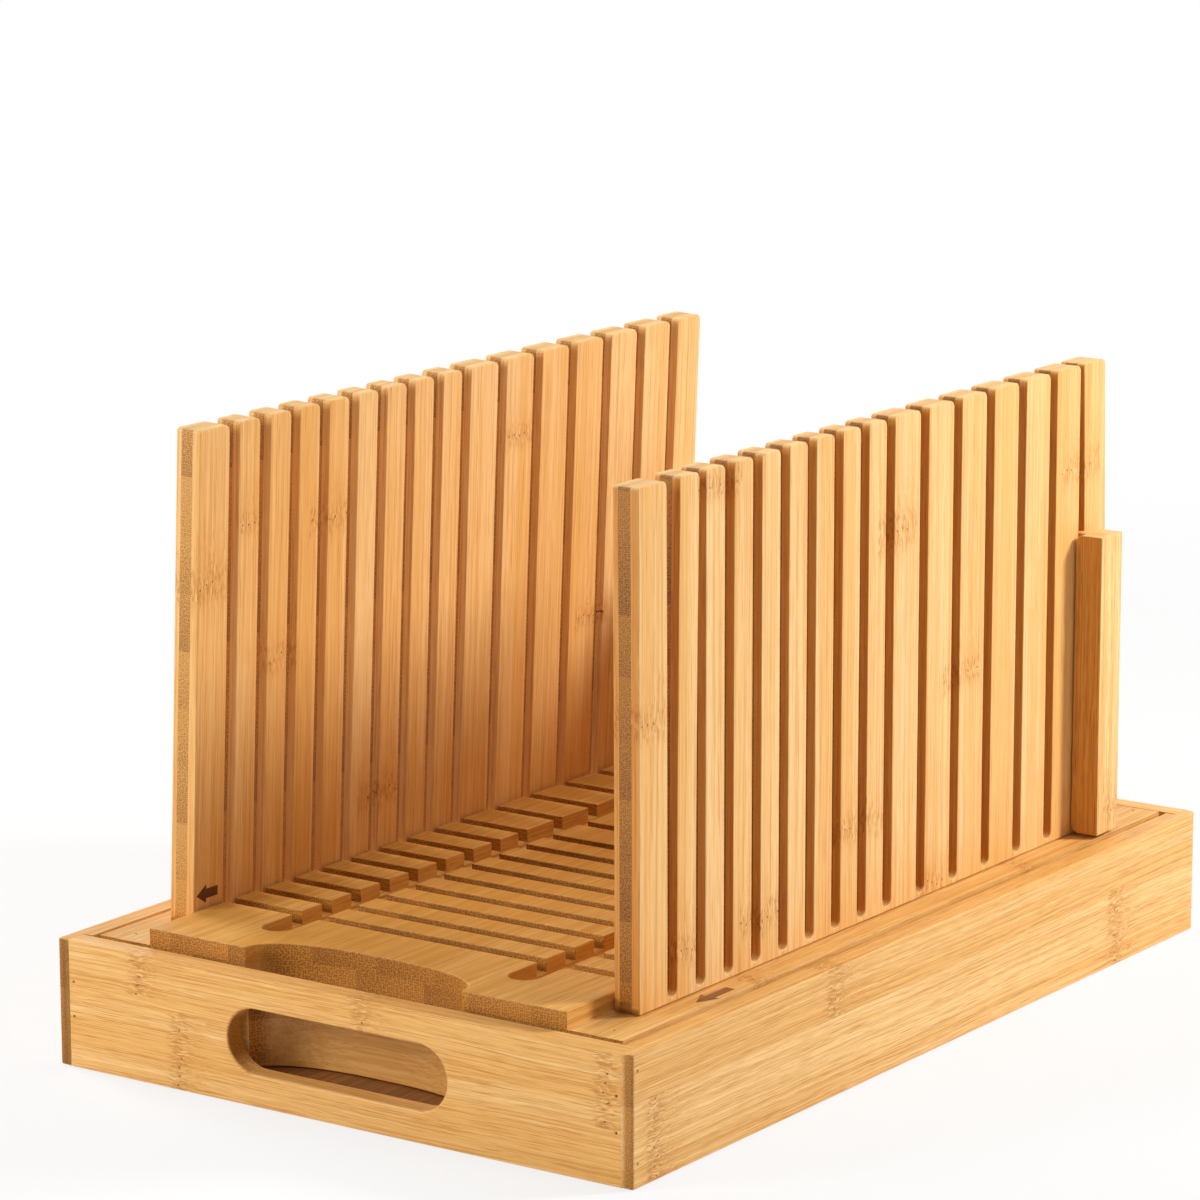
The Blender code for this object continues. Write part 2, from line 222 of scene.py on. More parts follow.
def addPiece(name, mesh, body, finishes, nodes, edge=0, place=None):
    for polygon in mesh.polygons:
        polygon.use_smooth = True
    for finish in finishes:
        mesh.materials.append(finish)
    piece = bpy.data.objects.new(name, mesh)
    bpy.context.scene.collection.objects.link(piece)
    if place:
        piece.matrix_world = place
    if edge:
        rounding = piece.modifiers.new("edges", "BEVEL")
        rounding.width = edge
        rounding.segments = 2
        rounding.limit_method = "ANGLE"
        rounding.angle_limit = math.radians(40)
        rounding.use_clamp_overlap = False
    flats = piece.modifiers.new("flats", "WEIGHTED_NORMAL")
    flats.weight = 100
    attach(piece, body)
    if nodes:
        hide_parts(*nodes)


# the nodes of a finish

class Wiring:
    def __init__(self, material):
        self.tree = material.node_tree

    def add(self, kind, inputs=None, **settings):
        node = self.tree.nodes.new("ShaderNode" + kind)
        for key, value in settings.items():
            setattr(node, key, value)
        for key, value in (inputs or {}).items():
            if isinstance(value, bpy.types.NodeSocket):
                self.tree.links.new(value, node.inputs[key])
            else:
                node.inputs[key].default_value = value
        return node

    def calc(self, operation, *values):
        return self.add("Math", dict(enumerate(values)), operation=operation).outputs[0]

    def between(self, value, low, high, fromValue=0.0, toValue=1.0):
        inputs = {"Value": value, "From Min": low, "From Max": high, "To Min": fromValue, "To Max": toValue}
        return self.add("MapRange", inputs, interpolation_type="SMOOTHSTEP").outputs[0]

    def join(self, x, y, z):
        return self.add("CombineXYZ", {0: x, 1: y, 2: z}).outputs[0]

    def noise(self, vector, scale, detail=2.0, roughness=0.5):
        inputs = {"Vector": vector, "Scale": scale, "Detail": detail, "Roughness": roughness}
        return self.add("TexNoise", inputs)

    def blend(self, factor, first, second, mode="MIX"):
        node = self.add("Mix", {0: factor, 6: first, 7: second}, data_type="RGBA", blend_type=mode)
        return node.outputs[2]


def colour(red, green, blue):
    # from the 0 to 255 values of a screen colour
    linear = []
    for value in (red, green, blue):
        share = value / 255
        linear.append(share / 12.92 if share <= 0.04045 else ((share + 0.055) / 1.055) ** 2.4)
    return (*linear, 1.0)


# bamboo, as strips of long fibres glued side by side: lengths in millimetres, colours as in plain light
bambooLook = {
    "pale": colour(245, 205, 141), "warm": colour(231, 178, 102), "line": colour(202, 136, 58),
    "knot": colour(176, 112, 40), "speck": colour(84, 46, 14), "endPale": colour(184, 126, 52),
    "endDark": colour(136, 82, 28), "endDot": 0.6,              # how far apart the dots of end grain lie
    "lineShare": 0.76, "lineScale": 1.9, "drift": 4.0,          # the lines' strength, closeness and wander
    "knotShare": 0.62,                                          # how dark the knots are
    "sawn": 0.0, "sawnTint": colour(221, 189, 126),             # painted shade: how far faces square to the across axis are darkened, for the shade they stand in
    "speckApart": 2.7027, "gloss": 0.3,
    "roughness": (0.40, 0.54), "bump": 0.25, "bumpHeight": 0.06,
}


def knotMasks(w, knots, along, side, wander):
    # the middle of each knot, the warm flare beside it, and the row of dark specks across it
    core, flare, row = 0.0, 0.0, 0.0
    apart = bambooLook["speckApart"]
    place = w.calc("DIVIDE", side, apart)
    chance = w.add("TexWhiteNoise", {"Vector": w.join(w.calc("FLOOR", place), 0.5, 0.5)}, noise_dimensions="3D")
    kept = w.between(chance.outputs["Value"], 0.30, 0.36)
    beside = w.calc("MULTIPLY", w.calc("SUBTRACT", w.calc("FRACT", place), 0.5), apart)
    for alongMiddle, sideMiddle, halfLength, halfWidth in knots:
        off = w.calc("ADD", w.calc("SUBTRACT", along, alongMiddle), wander)
        far = w.calc("ABSOLUTE", off)
        aside = w.calc("ABSOLUTE", w.calc("SUBTRACT", side, sideMiddle))
        inside = w.between(aside, halfWidth * 1.04, halfWidth * 0.9)
        middle = w.between(far, halfLength, halfLength * 0.4)
        core = w.calc("MAXIMUM", core, w.calc("MULTIPLY", inside, middle))
        after, before = w.between(off, halfLength * 3.5, 0.0), w.between(off, -halfLength * 1.5, 0.0)
        flare = w.calc("MAXIMUM", flare, w.calc("MULTIPLY", inside, w.calc("MULTIPLY", after, before)))
        spot = w.calc("SQRT", w.calc("MULTIPLY_ADD", off, off, w.calc("MULTIPLY", beside, beside)))
        row = w.calc("MAXIMUM", row, w.calc("MULTIPLY", inside, w.between(spot, 0.40, 0.20)))
    return core, flare, w.calc("MULTIPLY", row, kept)


def bambooFinish(name, grain, across, stripWidth, stripShift=0.0, knots=(), seed=0.0, **changes):
    # grain and across are axes; knots are (along, across, half length, half width)
    look = {**bambooLook, **changes}
    material = bpy.data.materials.new(name)
    material.use_nodes = True
    shader = material.node_tree.nodes["Principled BSDF"]
    w = Wiring(material)
    place = w.add("TexCoord").outputs["Object"]
    place = w.add("VectorMath", {0: place, 1: (1 / mm,) * 3}, operation="MULTIPLY").outputs[0]
    split = w.add("SeparateXYZ", {0: place}).outputs
    along, side = split["xyz".index(grain)], split["xyz".index(across)]
    deep = split[3 - "xyz".index(grain) - "xyz".index(across)]

    # every strip has its own tone and its own place along the stem
    stripNumber = w.calc("FLOOR", w.calc("DIVIDE", w.calc("ADD", side, stripShift), stripWidth))
    chance = w.add("TexWhiteNoise", {"Vector": w.join(stripNumber, seed, 0.5)}, noise_dimensions="3D")
    stripTone = chance.outputs["Value"]
    run = w.calc("MULTIPLY_ADD", stripTone, 900.0, along)

    # knots, where the stem had its rings
    wander = w.noise(w.join(w.calc("MULTIPLY", side, 0.22), w.calc("MULTIPLY", deep, 0.1), seed), 1.0)
    core, flare, row = knotMasks(w, knots, along, side, w.calc("MULTIPLY_ADD", wander.outputs[0], 8.0, -4.0))

    # the fibres drift a little from side to side, and swirl at the knots
    sway = w.noise(w.join(w.calc("MULTIPLY", run, 0.008), w.calc("MULTIPLY", stripNumber, 3.1), seed), 1.0, 1.0)
    ripple = w.noise(w.join(w.calc("MULTIPLY", run, 0.05), w.calc("MULTIPLY", side, 0.15), deep), 1.0, 1.0)
    swirl = w.noise(w.join(w.calc("MULTIPLY", run, 0.20), w.calc("MULTIPLY", side, 0.42), deep), 1.0, 2.0)
    bend = w.calc("MULTIPLY", w.calc("SUBTRACT", sway.outputs[0], 0.5), look["drift"])
    bend = w.calc("MULTIPLY_ADD", w.calc("SUBTRACT", ripple.outputs[0], 0.5), 0.5, bend)
    swirlShift = w.calc("MULTIPLY", w.calc("SUBTRACT", swirl.outputs[0], 0.5), w.calc("MAXIMUM", core, flare))
    bend = w.calc("MULTIPLY_ADD", swirlShift, 2.4, bend)
    side2, deep2 = w.calc("ADD", side, bend), w.calc("MULTIPLY_ADD", bend, 0.6, deep)

    scale = look["lineScale"]
    fibre = w.join(w.calc("MULTIPLY", run, 0.007), side2, deep2)
    hair = w.join(w.calc("MULTIPLY", run, 0.025), side2, deep2)
    cloud = w.noise(w.join(w.calc("MULTIPLY", run, 0.02), side2, deep2), 0.11, 2.0).outputs[0]
    streak = w.noise(fibre, 0.70, 2.0, 0.6).outputs[0]
    band = w.noise(fibre, 1.15 * scale, 2.0, 0.6).outputs[0]
    fine = w.noise(hair, 2.4 * scale, 1.0, 0.6).outputs[0]
    bundles = w.add("TexVoronoi", {"Vector": fibre, "Scale": scale}, feature="F1").outputs["Distance"]

    # long grain: cream to honey, with the bundles as fine darker lines
    tone = w.calc("MULTIPLY_ADD", streak, 1.1, w.calc("MULTIPLY", stripTone, 0.35))
    tone = w.calc("MULTIPLY_ADD", cloud, 0.9, tone)
    body = w.blend(w.between(tone, 0.85, 1.45), look["pale"], look["warm"])
    thin = w.calc("MULTIPLY", w.between(bundles, 0.42, 0.16), w.between(fine, 0.32, 0.62, 0.30, 1.0))
    wide = w.between(band, 0.52, 0.61, 0.0, 0.75)
    lines = w.calc("MULTIPLY", w.calc("MAXIMUM", thin, wide), w.between(cloud, 0.25, 0.6, 0.6, 1.0))
    lines = w.calc("MULTIPLY_ADD", w.between(fine, 0.47, 0.60), 0.42, lines)
    longGrain = w.blend(w.calc("MULTIPLY", lines, look["lineShare"]), body, look["line"])

    # knots: short dark and light ticks, a warm flare to one side, and a row of dark specks
    dashed = w.join(w.calc("MULTIPLY", run, 0.30), w.calc("MULTIPLY", side2, 2.2), deep2)
    ticks = w.noise(dashed, 1.0, 1.0, 0.6)
    share = look["knotShare"]
    dark = w.calc("MULTIPLY", core, w.between(ticks.outputs[0], 0.48, 0.66, 0.10 * share, 0.95 * share))
    light = w.calc("MULTIPLY", core, w.between(ticks.outputs[0], 0.44, 0.32, 0.0, 0.65))
    shade = w.calc("MULTIPLY", flare, w.between(streak, 0.35, 0.65, 0.10, 0.38))
    longGrain = w.blend(shade, longGrain, look["line"])
    longGrain = w.blend(light, longGrain, look["pale"])
    longGrain = w.blend(dark, longGrain, look["knot"])
    longGrain = w.blend(w.calc("MULTIPLY", row, 0.85), longGrain, look["speck"])

    # end grain, dotted with the bundles, closer and darker towards one side of every strip
    dotted = {"Vector": w.join(side, deep, 0.0), "Scale": 1.0 / look["endDot"], "Randomness": 0.65}
    dots = w.add("TexVoronoi", dotted, feature="F1", voronoi_dimensions="2D")
    inStrip = w.calc("FRACT", w.calc("DIVIDE", w.calc("ADD", side, stripShift), stripWidth))
    endTone = w.between(dots.outputs["Distance"], 0.14, 0.50, 0.04, 0.92)
    endTone = w.calc("MULTIPLY_ADD", w.calc("SUBTRACT", inStrip, 0.5), 0.34, endTone)
    endTone = w.calc("MULTIPLY_ADD", w.calc("SUBTRACT", stripTone, 0.5), -0.45, endTone)
    endGrain = w.blend(endTone, look["endDark"], look["endPale"])
    facing = w.add("SeparateXYZ", {0: w.add("NewGeometry").outputs["Normal"]}).outputs
    endFace = w.between(w.calc("ABSOLUTE", facing["xyz".index(grain)]), 0.45, 0.92)
    # painted shade: faces square to the across axis, such as slot walls and post fronts, are multiplied towards
    # the tint
    sawnFace = w.between(w.calc("ABSOLUTE", facing["xyz".index(across)]), 0.75, 1.0, 0.0, look["sawn"])
    longGrain = w.blend(sawnFace, longGrain, look["sawnTint"], "MULTIPLY")
    w.tree.links.new(w.blend(endFace, longGrain, endGrain), shader.inputs["Base Color"])

    smooth, rough = look["roughness"]
    w.tree.links.new(w.between(streak, 0.3, 0.7, smooth, rough), shader.inputs["Roughness"])
    shader.inputs["Specular IOR Level"].default_value = look["gloss"]
    relief = w.calc("MULTIPLY_ADD", fine, 0.5, w.calc("MULTIPLY", w.between(bundles, 0.1, 0.4), 0.6))
    relief = w.calc("MULTIPLY_ADD", ticks.outputs[0], w.calc("MULTIPLY", core, 0.3), relief)
    relief = w.blend(endFace, relief, w.between(dots.outputs["Distance"], 0.14, 0.50, 0.0, 0.4))
    bump = w.add("Bump", {"Strength": look["bump"], "Distance": look["bumpHeight"] * mm, "Height": relief})
    w.tree.links.new(bump.outputs[0], shader.inputs["Normal"])
    return material


def plainFinish(name, tint, roughness, metallic=0.0):
    # a plain finish with faint mottling
    material = bpy.data.materials.new(name)
    material.use_nodes = True
    shader = material.node_tree.nodes["Principled BSDF"]
    w = Wiring(material)
    mottle = w.noise(w.add("TexCoord").outputs["Object"], 900.0, 3.0).outputs[0]
    darker = tuple(value * 0.55 for value in tint[:3]) + (1.0,)
    w.tree.links.new(w.blend(mottle, darker, tint), shader.inputs["Base Color"])
    w.tree.links.new(w.between(mottle, 0.2, 0.8, roughness - 0.1, roughness + 0.15), shader.inputs["Roughness"])
    shader.inputs["Metallic"].default_value = metallic
    return material


# tray: two sides that lap past the ends, which have a hand slot each, and a floor
tray = {
    "wall": 7.0, "lap": 3.0, "height": 37.7, "rim": 0.5,
    "frontCorner": 0.8, "rearCorner": 2.6, "slotLength": 76.2, "slotHeight": 18.8, "slotRim": 0.9,
    "stripWidth": 23.0,
    "sideKnots": [(-145.4, 12, 6, 12.5), (-55.8, 31, 6, 8), (104.7, 12, 6, 12.5)],
    "frontKnots": [(8.9, 31, 5, 8), (-70.6, 32, 5, 7), (-55.5, 11, 5, 12), (91, 26, 5, 11)],
}
halfWidth, halfLength = (value * mm for value in (100.0, 155.75))
brad = {"radius": 0.36, "pit": 0.46, "pitDepth": 1.6, "pitSides": 14, "dome": 0.12}


def bradPits(kinds, body):
    # where the brads of a kind enter a piece, as a cutter
    shape = bmesh.new()
    for name in frame["record"]["behaviour"]["bodies"][body]:
        if not name.startswith(kinds):
            continue
        low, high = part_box(name)
        middle, out = (low + high) / 2, bradWay(name)
        head = middle + out * (high - low).dot(Vector(map(abs, out))) / 2
        depth = brad["pitDepth"] * mm
        turn = out.to_track_quat("Z", "Y").to_matrix().to_4x4()
        radius = brad["pit"] * mm
        bmesh.ops.create_cone(shape, cap_ends=True, segments=brad["pitSides"], radius1=radius, radius2=radius,
                              depth=2 * depth, matrix=Matrix.Translation(head) @ turn)
    return shape


def bradWay(name):
    # out of the wood, from the middle of a brad to its head
    low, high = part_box(name)
    middle = (low + high) / 2
    if name.startswith("side"):
        return Vector((math.copysign(1, middle.x), 0, 0))
    if name.startswith("end"):
        return Vector((0, math.copysign(1, middle.y), 0))
    return Vector((0, 0, 1))


def makeTray():
    inner = halfWidth - tray["wall"] * mm
    lapFace = inner + tray["lap"] * mm
    shoulder = halfLength - tray["wall"] * mm
    height, rim = tray["height"] * mm, tray["rim"] * mm
    for name, hand in (("left", -1), ("right", 1)):
        # from the front inner shoulder round the outer face to the rear one
        outline = [Vector((inner, shoulder)), Vector((inner, -shoulder)), Vector((lapFace, -shoulder)),
                   Vector((lapFace, -halfLength))]
        near, far = tray["frontCorner"] * mm, tray["rearCorner"] * mm
        outline += arcPoints((halfWidth - near, -halfLength + near), near, -1, 0, 5)
        outline += arcPoints((halfWidth - far, halfLength - far), far, 0, 1, 8)
        outline += [Vector((lapFace, halfLength)), Vector((lapFace, shoulder))]
        if hand < 0:
            outline = [Vector((-point.x, point.y)) for point in reversed(outline)]
        mesh = asMesh(f"tray_{name}_panel", plateShape("z", 0, height, [outline], [rim]))
        mesh = carve(mesh, bradPits("side", "tray"))
        wood = bambooFinish(f"side panel bamboo {name}", "y", "z", tray["stripWidth"], 0.0,
                            tray["sideKnots"], seed=3.0 + hand)
        addPiece(f"traySide_{name}", mesh, "tray", [wood], [f"tray_{name}_panel"])
    for name, hand in (("front", -1), ("back", 1)):
        outer = hand * halfLength
        within = hand * (halfLength - (tray["wall"] - 0.3) * mm)
        half = lapFace + rim / 2                # its rims hide behind the sides' laps
        outline = rectangle((-half, 0), (half, height))
        slot = roundSlot((0, height / 2), tray["slotLength"] * mm, tray["slotHeight"] * mm, 24)
        slot.reverse()
        shape = plateShape("y", min(outer, within), max(outer, within), [outline, slot],
                           [rim / 2, tray["slotRim"] * mm])
        mesh = carve(asMesh(f"tray_{name}_panel", shape), bradPits("end", "tray"))
        knots = tray["frontKnots"] if hand < 0 else tray["frontKnots"][1:3]
        wood = bambooFinish(f"end panel bamboo {name}", "x", "z", tray["stripWidth"], 0.0, knots,
                            seed=7.0 + hand)
        addPiece(f"trayEnd_{name}", mesh, "tray", [wood], [f"tray_{name}_panel"])
    # painted shade: the tray floor gets dark browns for the shade it lies in under the base
    floorWoodPaintedShade = bambooFinish("tray floor bamboo, painted shade", "y", "x", 21.0, 5.0, seed=11.0, pale=colour(146, 96, 46),
                             warm=colour(122, 76, 34), line=colour(104, 62, 26))
    floor = frame["nodes"]["tray_floor"]
    floor.data.materials.clear()
    floor.data.materials.append(floorWoodPaintedShade)


makeTray()
print("tray made")


# base: a board that drops into the tray, a grooved bed on it, and a rail under each end
base = {
    "halfWidth": 91.1, "halfLength": 147.55, "bottom": 31.0, "top": 38.0, "bedHalfWidth": 72.7, "bedTop": 43.0,
    "recessHalf": 37.7, "recessDepth": 13.7, "recessPower": 2.4, "railDepth": 20.0, "railBottom": 7.0,
    "grooveFloor": 39.0, "boardEdge": 0.12, "crumbHalf": 28.0, "crumbWidth": 3.0,
    "seatX": 43.2, "seatWidth": 9.4, "seatLength": 260.6,
    "tongueX": (43.2, 78.05), "tongueHalf": 2.525, "tongueLength": 122.8, "tongueFloor": 32.7,
    "edge": 0.28, "gap": 0.3, "boardKnots": [(-79.5, 85.5, 5, 10), (67, 87, 5, 8)],
}
knife = {"slots": 15, "narrow": 13.9, "wide": 18.57, "narrowSteps": 8, "first": -110.93, "width": 4.6}


def slotPlaces():
    places = [knife["first"]]
    for step in range(knife["slots"] - 1):
        places.append(places[-1] + (knife["narrow"] if step < knife["narrowSteps"] else knife["wide"]))
    return [place * mm for place in places]


def recessed(halfAcross, recessPoints=48):
    # a board's outline seen from above, with a finger recess in both ends
    half, end, depth = base["recessHalf"] * mm, base["halfLength"] * mm, base["recessDepth"] * mm
    scoop = []
    for step in range(recessPoints + 1):
        angle = math.pi * (1 - step / recessPoints)
        power = 2 / base["recessPower"]
        x = half * math.copysign(abs(math.cos(angle)) ** power, math.cos(angle))
        scoop.append(Vector((x, -end + depth * abs(math.sin(angle)) ** power)))
    front = [Vector((-halfAcross, -end))] + scoop + [Vector((halfAcross, -end))]
    return front + [-point for point in front]


def crumbHoles():
    half, width = base["crumbHalf"] * mm, base["crumbWidth"] * mm / 2
    return [list(reversed(rectangle((-half, y - width), (half, y + width)))) for y in slotPlaces()]


def makeBase():
    halfAcross, bottom, top = (base[key] * mm for key in ("halfWidth", "bottom", "top"))
    holes = crumbHoles()
    loops = [recessed(halfAcross)] + holes
    mesh = asMesh("base_board", plateShape("z", bottom, top, loops, [0] * len(loops)))
    half, length, floor = (base[key] * mm for key in ("tongueHalf", "tongueLength", "tongueFloor"))
    grooves = [((side * x * mm - half, -length, floor), (side * x * mm + half, length, top + mm))
               for x in base["tongueX"] for side in (-1, 1)]
    mesh = carve(carve(mesh, boxes(*grooves)), bradPits("rail", "base"))
    wood = bambooFinish("base board bamboo", "y", "x", 24.0, 9.0, base["boardKnots"], seed=21.0,
                        pale=colour(244, 200, 130), warm=colour(225, 170, 90),
                        endDot=0.75, endPale=colour(192, 130, 50), endDark=colour(132, 78, 24))
    addPiece("baseBoard", mesh, "base", [wood], ["base_board"], base["boardEdge"] * mm)

    bedHalf, bedTop = base["bedHalfWidth"] * mm, base["bedTop"] * mm
    bedBottom = (base["top"] - base["edge"]) * mm       # its lower edge hides in the board
    seatX, seatLength, seatWidth = (base[key] * mm for key in ("seatX", "seatLength", "seatWidth"))
    seats = [swapped(roundSlot((0, side * seatX), seatLength, seatWidth)) for side in (-1, 1)]
    loops = [recessed(bedHalf)] + seats + holes
    mesh = asMesh("platform", plateShape("z", bedBottom, bedTop, loops, [0] * len(loops)))
    width, grooveFloor = knife["width"] * mm / 2, base["grooveFloor"] * mm
    grooves = [((-bedHalf - mm, y - width, grooveFloor), (bedHalf + mm, y + width, bedTop + mm))
               for y in slotPlaces()]
    mesh = carve(mesh, boxes(*grooves))
    wood = bambooFinish("bed bamboo", "y", "x", 21.0, 2.0, seed=25.0, pale=colour(241, 192, 110),
                        warm=colour(220, 162, 74), endDot=0.75, endPale=colour(194, 132, 50),
                        endDark=colour(132, 78, 24))
    addPiece("grooved_bed", mesh, "base", [wood], ["platform"], base["edge"] * mm)

    railTop, railBottom = (base["bottom"] - base["gap"]) * mm, base["railBottom"] * mm
    inside = (base["halfLength"] - base["railDepth"]) * mm
    outline = recessed(halfAcross)
    front = outline[:len(outline) // 2] + [Vector((halfAcross, -inside)), Vector((-halfAcross, -inside))]
    for name, hand in (("front", -1), ("rear", 1)):
        loop = front if hand < 0 else [-point for point in front]
        shape = plateShape("z", railBottom, railTop, [loop], [base["edge"] * mm])
        wood = bambooFinish(f"{name} rail bamboo", "x", "z", 12.0, 3.0, seed=31.0 + hand, endDot=0.9,
                            endPale=colour(180, 120, 50), endDark=colour(116, 70, 28),
                            pale=colour(222, 174, 104), warm=colour(204, 148, 76))
        addPiece(f"{name}Rail", asMesh(f"{name}_rail", shape), "base", [wood], [f"{name}_rail"])


makeBase()
print("base made")


# guides: three plies each, cut into slats by the knife slots
guide = {
    "inner": 73.8, "thickness": 8.5, "halfLength": 126.7, "foot": 38.3, "top": 184.1, "slotFloor": 39.7,
    "plies": (0.215, 0.685), "rim": 0.32, "slatRound": (1.0, 2.0), "slatSteps": 8,
    "leftCore": {"endPale": colour(210, 154, 78), "endDark": colour(150, 96, 38)},
    "rightCore": {"endPale": colour(178, 118, 44), "endDark": colour(112, 64, 18)},
    # painted shade on the slot walls: stronger on the right guide, whose slot walls face away from the key lamp
    "sawn": {"left": 0.15, "right": 0.85},
    "tongue": 4.25, "tongueLength": 122.2, "tongueFoot": 33.3, "tongueTop": 38.7, "lean": 2.4,
    "rightBends": {0: -0.6, 1: 1.3, 14: -0.4, 15: -2.9}, "leftBends": {2: 0.4, 7: -0.3},
    "rightKnots": [(119, -121, 7, 9), (51.7, -103.8, 6, 9), (178.7, -88, 5, 11), (52, -67, 6, 11),
                   (67.5, -14, 6, 12), (151, 4, 8, 11), (41.5, 24, 5, 8), (101.3, 41, 6, 11),
                   (152.5, 110, 7, 12)],
    "leftKnots": [(139, -119, 7, 9), (153.6, -103, 5, 5), (111.3, -88, 6, 8), (149, -66, 6, 10),
                  (159.4, 30, 5, 9), (95, 70, 5, 9), (60, -40, 6, 10)],
}
guideHinge = {"left": Vector((-73.8 * mm, 0, 38.3 * mm)), "right": Vector((0, 0, 0))}


def guideLoop(bends, drop=0.0):
    # a guide's comb seen from its side, as (y, z), with its foot at a height of foot - drop
    half, radius = guide["halfLength"] * mm, knife["width"] * mm / 2
    frontRound, rearRound = (value * mm for value in guide["slatRound"])
    foot, floor, top = (guide[key] * mm - drop for key in ("foot", "slotFloor", "top"))
    root = floor + radius

    def slatSide(y, bend, crown):
        shares = [step / guide["slatSteps"] for step in range(guide["slatSteps"] + 1)]
        return [Vector((y + bend * share ** 2, root + (crown - root) * share)) for share in shares]

    places = slotPlaces()
    starts, ends = [-half] + [y + radius for y in places], [y - radius for y in places] + [half]
    points = [Vector((half, foot))]
    for number in reversed(range(len(starts))):
        bend = bends.get(number, 0.0) * mm
        start, end = starts[number], ends[number]
        points += slatSide(end, bend, top - rearRound)
        points += arcPoints((end + bend - rearRound, top - rearRound), rearRound, 0, 1, 6)[1:]
        points += arcPoints((start + bend + frontRound, top - frontRound), frontRound, 1, 2, 5)[:-1]
        points += reversed(slatSide(start, bend, top - frontRound))
        if number:
            points += arcPoints((places[number - 1], root), radius, 0, -2, 20)[1:-1]
    points.append(Vector((-half, foot)))
    return points


def leantPlace():
    return Matrix.Translation(guideHinge["left"]) @ Matrix.Rotation(math.radians(guide["lean"]), 4, "Y")


def makeGuide(name, hand, bends, knots):
    # the left one is made upright about its foot's inner edge, then leant
    inner, thickness = guide["inner"] * mm, guide["thickness"] * mm
    origin = guideHinge[name]
    outer = hand * (inner + thickness) - origin.x
    face = hand * inner - origin.x
    leftFace = min(outer, face)
    seams = [leftFace + thickness * share for share in guide["plies"]]
    loop = guideLoop(bends, origin.z)
    shape = plateShape("x", leftFace, leftFace + thickness, [loop], [guide["rim"] * mm], seams)
    middle, half = (outer + face) / 2, guide["tongue"] * mm / 2
    low = Vector((middle - half, -guide["tongueLength"] * mm, guide["tongueFoot"] * mm - origin.z))
    high = Vector((middle + half, guide["tongueLength"] * mm, guide["tongueTop"] * mm - origin.z))
    size, centre = high - low, (high + low) / 2
    made = bmesh.ops.create_cube(shape, size=1, matrix=Matrix.Translation(centre) @ Matrix.Diagonal((*size, 1)))
    for face in {face for vert in made["verts"] for face in vert.link_faces}:
        face.material_index = 1
    knots = [(knot[0] - origin.z / mm, *knot[1:]) for knot in knots]
    plies = bambooFinish(f"{name} guide face ply", "z", "y", 22.0, 16.0, knots, seed=41.0 + hand, drift=1.5,
                         lineScale=1.25, lineShare=0.6, line=colour(212, 144, 66), knotShare=0.75,
                         knot=colour(196, 130, 48), sawn=guide["sawn"][name], pale=colour(245, 203, 142),
                         warm=colour(236, 182, 108),
                         endPale=colour(246, 206, 136), endDark=colour(228, 178, 102))
    core = bambooFinish(f"{name} guide core", "y", "z", 17.0, 4.0, seed=47.0 + hand, endDot=0.62,
                        **guide[name + "Core"])
    place = leantPlace() if origin.length else None
    addPiece(f"{name}Guide", asMesh(f"{name}_guide", shape), f"{name}_guide",
             [plies, core, plies], [f"{name}_guide"], place=place)


makeGuide("left", -1, guide["leftBends"], guide["leftKnots"])
makeGuide("right", 1, guide["rightBends"], guide["rightKnots"])
print("guides made")


# rear stop: a board through the last slots, let into a post on each end
stop = {"postRound": 2.5, "groove": 7.0, "snug": 0.05, "edge": 0.35}


def makeStop():
    boardLow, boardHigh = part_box("rear_stop_board")
    outline = rectangle((boardLow.x, boardLow.z), (boardHigh.x, boardHigh.z))
    shape = plateShape("y", boardLow.y, boardHigh.y, [outline], [stop["edge"] * mm])
    wood = bambooFinish("stop board bamboo", "x", "z", 22.0, 6.0, [(12, 100, 5, 12)], seed=51.0)
    addPiece("stopBoard", asMesh("rear_stop_board", shape), "rear_stop", [wood],
             ["rear_stop_board"])
    for name, hand in (("left", -1), ("right", 1)):
        low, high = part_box(f"rear_stop_{name}_post")
        corner = stop["postRound"] * mm
        inner, outer = (low.x, high.x) if hand > 0 else (-high.x, -low.x)
        outline = [Vector((outer, low.z)), Vector((outer, high.z))]
        outline += arcPoints((inner + corner, high.z - corner), corner, 1, 2, 8)
        outline += arcPoints((inner + corner, low.z + corner), corner, 2, 3, 8)
        if hand < 0:
            outline = [Vector((-point.x, point.y)) for point in reversed(outline)]
        mesh = asMesh(f"rear_stop_{name}_post", plateShape("y", low.y, high.y, [outline], [0]))
        grooveEnd = hand * (inner + stop["groove"] * mm)
        grooveStart = hand * (inner - mm)
        snug = stop["snug"] * mm
        groove = ((min(grooveStart, grooveEnd), boardLow.y - snug, low.z - mm),
                  (max(grooveStart, grooveEnd), boardHigh.y + snug, high.z + mm))
        mesh = carve(mesh, boxes(groove))
        # painted shade on the posts' front and back faces, through sawn
        wood = bambooFinish(f"{name} post bamboo", "z", "y", 30.0, 2.0,
                            [(46.3, 116, 5, 6)] if hand > 0 else [(90, 110, 5, 6)], seed=55.0 + hand, sawn=0.9,
                            endPale=colour(242, 200, 136), endDark=colour(214, 162, 96))
        addPiece(f"stopPost_{name}", mesh, "rear_stop", [wood], [f"rear_stop_{name}_post"],
                 stop["edge"] * mm)


makeStop()
print("rear stop made")


